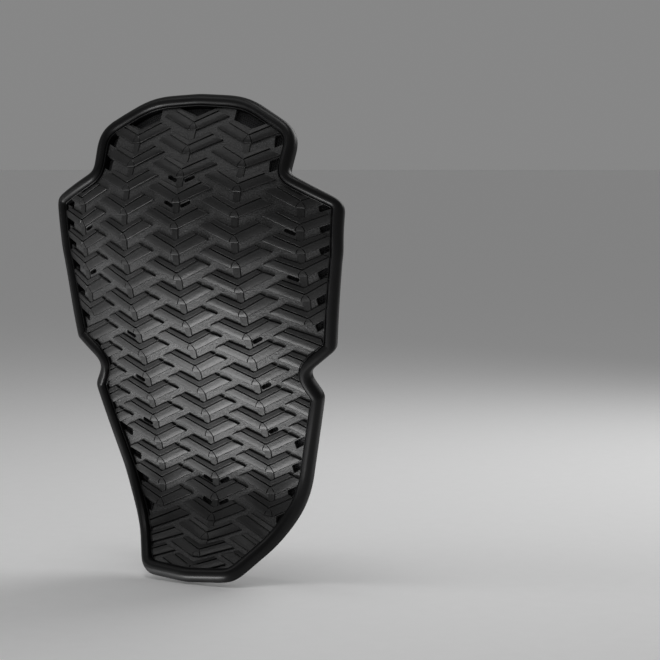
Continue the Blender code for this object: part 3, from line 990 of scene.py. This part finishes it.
class Nodes:
    """A short way to write a material's nodes."""

    def __init__(self, name):
        self.material = bpy.data.materials.new(name)
        self.material.use_nodes = True
        self.tree = self.material.node_tree
        self.shader = self.tree.nodes["Principled BSDF"]

    def add(self, kind, inputs=(), **settings):
        node = self.tree.nodes.new(kind)
        for key, value in settings.items():
            setattr(node, key, value)
        for key, value in dict(inputs).items():
            if isinstance(value, bpy.types.NodeSocket):
                self.tree.links.new(value, node.inputs[key])
            else:
                node.inputs[key].default_value = value
        return node

    def math(self, operation, a, b=0.0):
        return self.add("ShaderNodeMath", {0: a, 1: b}, operation=operation).outputs[0]

    def noise(self, vector, scale, detail=2.0, roughness=0.5):
        inputs = {"Vector": vector, "Scale": scale, "Detail": detail, "Roughness": roughness}
        return self.add("ShaderNodeTexNoise", inputs).outputs["Fac"]

    def ramp(self, value, low, high, first, last):
        inputs = {"Value": value, "From Min": low, "From Max": high, "To Min": first, "To Max": last}
        return self.add("ShaderNodeMapRange", inputs).outputs["Result"]

    def shade(self, value, dark, light):
        node = self.add("ShaderNodeMix", data_type="RGBA")
        inputs = {socket.identifier: socket for socket in node.inputs}
        self.tree.links.new(value, inputs["Factor_Float"])
        inputs["A_Color"].default_value = (*dark, 1.0)
        inputs["B_Color"].default_value = (*light, 1.0)
        return next(socket for socket in node.outputs if socket.identifier == "Result_Color")

    def plate(self):
        return self.add("ShaderNodeAttribute", attribute_name="plate").outputs["Vector"]

    def bump(self, height, distance):
        inputs = {"Height": height, "Distance": distance, "Strength": 1.0}
        return self.add("ShaderNodeBump", inputs).outputs["Normal"]

    def connect(self, **sockets):
        for name, value in sockets.items():
            name = name.replace("_", " ")
            if isinstance(value, bpy.types.NodeSocket):
                self.tree.links.new(value, self.shader.inputs[name])
            else:
                self.shader.inputs[name].default_value = value
        return self.material


def elastomer(name, dark, light, rough, grain, depth, gloss):
    """A black moulded elastomer: fine grain, faint mottling, and a roughness that follows both."""
    n = Nodes(name)
    plate = n.plate()
    fine = n.noise(plate, grain, detail=3.0, roughness=0.6)
    coarse = n.noise(plate, grain / COARSER)
    cloud = n.noise(plate, CLOUD_GRAIN, detail=3.0, roughness=0.55)
    height = n.math("ADD", n.math("MULTIPLY", fine, FINE_HEIGHT), n.math("MULTIPLY", coarse, COARSE_HEIGHT))
    tone = n.math("ADD", n.math("MULTIPLY", cloud, CLOUD_TONE), n.math("MULTIPLY", fine, FINE_TONE))
    colour = n.shade(n.ramp(tone, *TONE_RANGE, 0.0, 1.0), dark, light)
    wear = n.math("ADD", cloud, n.math("MULTIPLY", fine, FINE_WEAR))
    roughness = n.ramp(wear, *ROUGH_RANGE, rough - ROUGH_BELOW, rough + ROUGH_ABOVE)
    normal = n.bump(height, depth)
    return n.connect(Base_Color=colour, Roughness=roughness, Normal=normal, Specular_IOR_Level=gloss)


def mesh_fabric(name):
    """Knitted spacer mesh: rows of small hexagonal holes in a fine black knit, with painted shade in the
    holes.
    """
    n = Nodes(name)
    plate = n.plate()
    split_xyz = n.add("ShaderNodeSeparateXYZ", {"Vector": plate})
    x, y = split_xyz.outputs["X"], split_xyz.outputs["Y"]
    turn = 2 * math.pi / (HOLE_PITCH * math.sqrt(3) / 2)
    waves = []
    for degrees in (0, 60, 120):
        a = math.radians(degrees)
        along_x = n.math("MULTIPLY", x, turn * math.cos(a))
        along_y = n.math("MULTIPLY", y, turn * math.sin(a))
        waves.append(n.math("COSINE", n.math("ADD", along_x, along_y)))
    holes = n.math("ADD", n.math("ADD", waves[0], waves[1]), waves[2])
    knit = n.ramp(holes, 0.2, 1.5, 1.0, 0.0)
    ribs = n.math("SINE", n.math("MULTIPLY", y, 2 * math.pi / YARN_PITCH))
    yarn = n.math("ADD", n.math("MULTIPLY", ribs, YARN_RIDGES), n.noise(plate, YARN_GRAIN))
    height = n.math("ADD", knit, n.math("MULTIPLY", yarn, YARN_HEIGHT))
    # The holes are painted near black: painted shade where light falls into them. The yarn keeps its own
    # tone and grain.
    tone = n.math("MULTIPLY", knit, n.ramp(yarn, 0.2, 0.8, 0.65, 1.0))
    colour = n.shade(tone, KNIT_HOLE_SHADE, KNIT_LIGHT)
    roughness = n.ramp(tone, 0.0, 1.0, 0.95, 0.78)
    normal = n.bump(height, KNIT_DEPTH)
    return n.connect(
        Base_Color=colour, Roughness=roughness, Normal=normal, Specular_IOR_Level=0.3,
        Sheen_Weight=0.12, Sheen_Roughness=0.6,
    )


# ---------------------------------------------------------------- stage


def make_stage():
    """A wide, flat, pale floor under an even world. It throws no shadow, so the low lamps shine past it."""
    floor_z = cad_box[0].z - FLOOR_GAP
    work = bmesh.new()
    bmesh.ops.create_circle(work, cap_ends=True, segments=FLOOR_SIDES, radius=FLOOR_RADIUS)
    mesh = bpy.data.meshes.new("floor")
    work.to_mesh(mesh)
    work.free()
    floor = bpy.data.objects.new("floor", mesh)
    floor.location = (0, 0, floor_z)
    bpy.context.scene.collection.objects.link(floor)
    n = Nodes("floor_paint")
    where = n.add("ShaderNodeNewGeometry").outputs["Position"]
    speck = n.noise(where, FLOOR_GRAIN, detail=3.0)
    n.connect(Base_Color=n.shade(speck, FLOOR_DARK, FLOOR_PALE), Roughness=0.9)
    mesh.materials.append(n.material)
    floor.visible_shadow = False
    world = bpy.data.worlds.new("studio")
    bpy.context.scene.world = world
    world.use_nodes = True
    background = world.node_tree.nodes["Background"]
    background.inputs["Color"].default_value = (1.0, 1.0, 1.0, 1.0)
    background.inputs["Strength"].default_value = WORLD_LIGHT
    bpy.context.scene.view_settings.view_transform = "Standard"


def direction(azimuth, elevation):
    """Which way a lamp or the camera is from its target, from angles in radians."""
    level = math.cos(elevation)
    return Vector((math.sin(azimuth) * level, -math.cos(azimuth) * level, math.sin(elevation)))


def soft_light(name, azimuth, elevation, size, power):
    """A square area light facing the protector."""
    centre = (cad_box[0] + cad_box[1]) / 2
    away = direction(math.radians(azimuth), math.radians(elevation))
    lamp = bpy.data.lights.new(name, "AREA")
    lamp.shape = "SQUARE"
    lamp.size = size
    lamp.energy = power
    obj = bpy.data.objects.new(name, lamp)
    obj.location = centre + away * LAMP_DISTANCE
    obj.rotation_mode = "QUATERNION"
    obj.rotation_quaternion = away.to_track_quat("Z", "Y")
    bpy.context.scene.collection.objects.link(obj)


def make_camera():
    """The camera that sees the protector as the photo does."""
    right = Vector((math.cos(AZIMUTH), math.sin(AZIMUTH), 0))
    back = direction(AZIMUTH, ELEVATION)
    up = back.cross(right)
    lens = bpy.data.cameras.new("camera")
    lens.lens = LENS
    lens.sensor_width = SENSOR
    camera = bpy.data.objects.new("camera", lens)
    turn = Matrix((right, up, back)).transposed().to_4x4()
    turn.translation = back * DISTANCE + right * AIM_RIGHT + up * AIM_UP
    camera.matrix_world = turn
    bpy.context.scene.collection.objects.link(camera)
    bpy.context.scene.camera = camera


def main():
    make_camera()
    make_stage()
    for lamp in LAMPS:
        soft_light(*lamp)
    rim = elastomer(
        "rim_elastomer",
        dark=(0.0020, 0.0020, 0.0022),
        light=(0.0040, 0.0040, 0.0043),
        rough=0.34,
        grain=1500.0,
        depth=0.00002,
        gloss=0.20,
    )
    web = elastomer(
        "web_elastomer",
        dark=(0.002, 0.002, 0.0021),
        light=(0.075, 0.075, 0.076),
        rough=0.42,
        grain=750.0,
        depth=0.00055,
        gloss=0.46,
    )
    ribs = elastomer(
        "chevron_elastomer",
        dark=(0.0020, 0.0020, 0.0021),
        light=(0.020, 0.020, 0.0203),
        rough=0.35,
        grain=900.0,
        depth=0.00022,
        gloss=0.38,
    )
    make_rim(rim)
    make_web(web)
    make_chevrons(ribs)
    make_liner(mesh_fabric("liner_mesh"))


main()
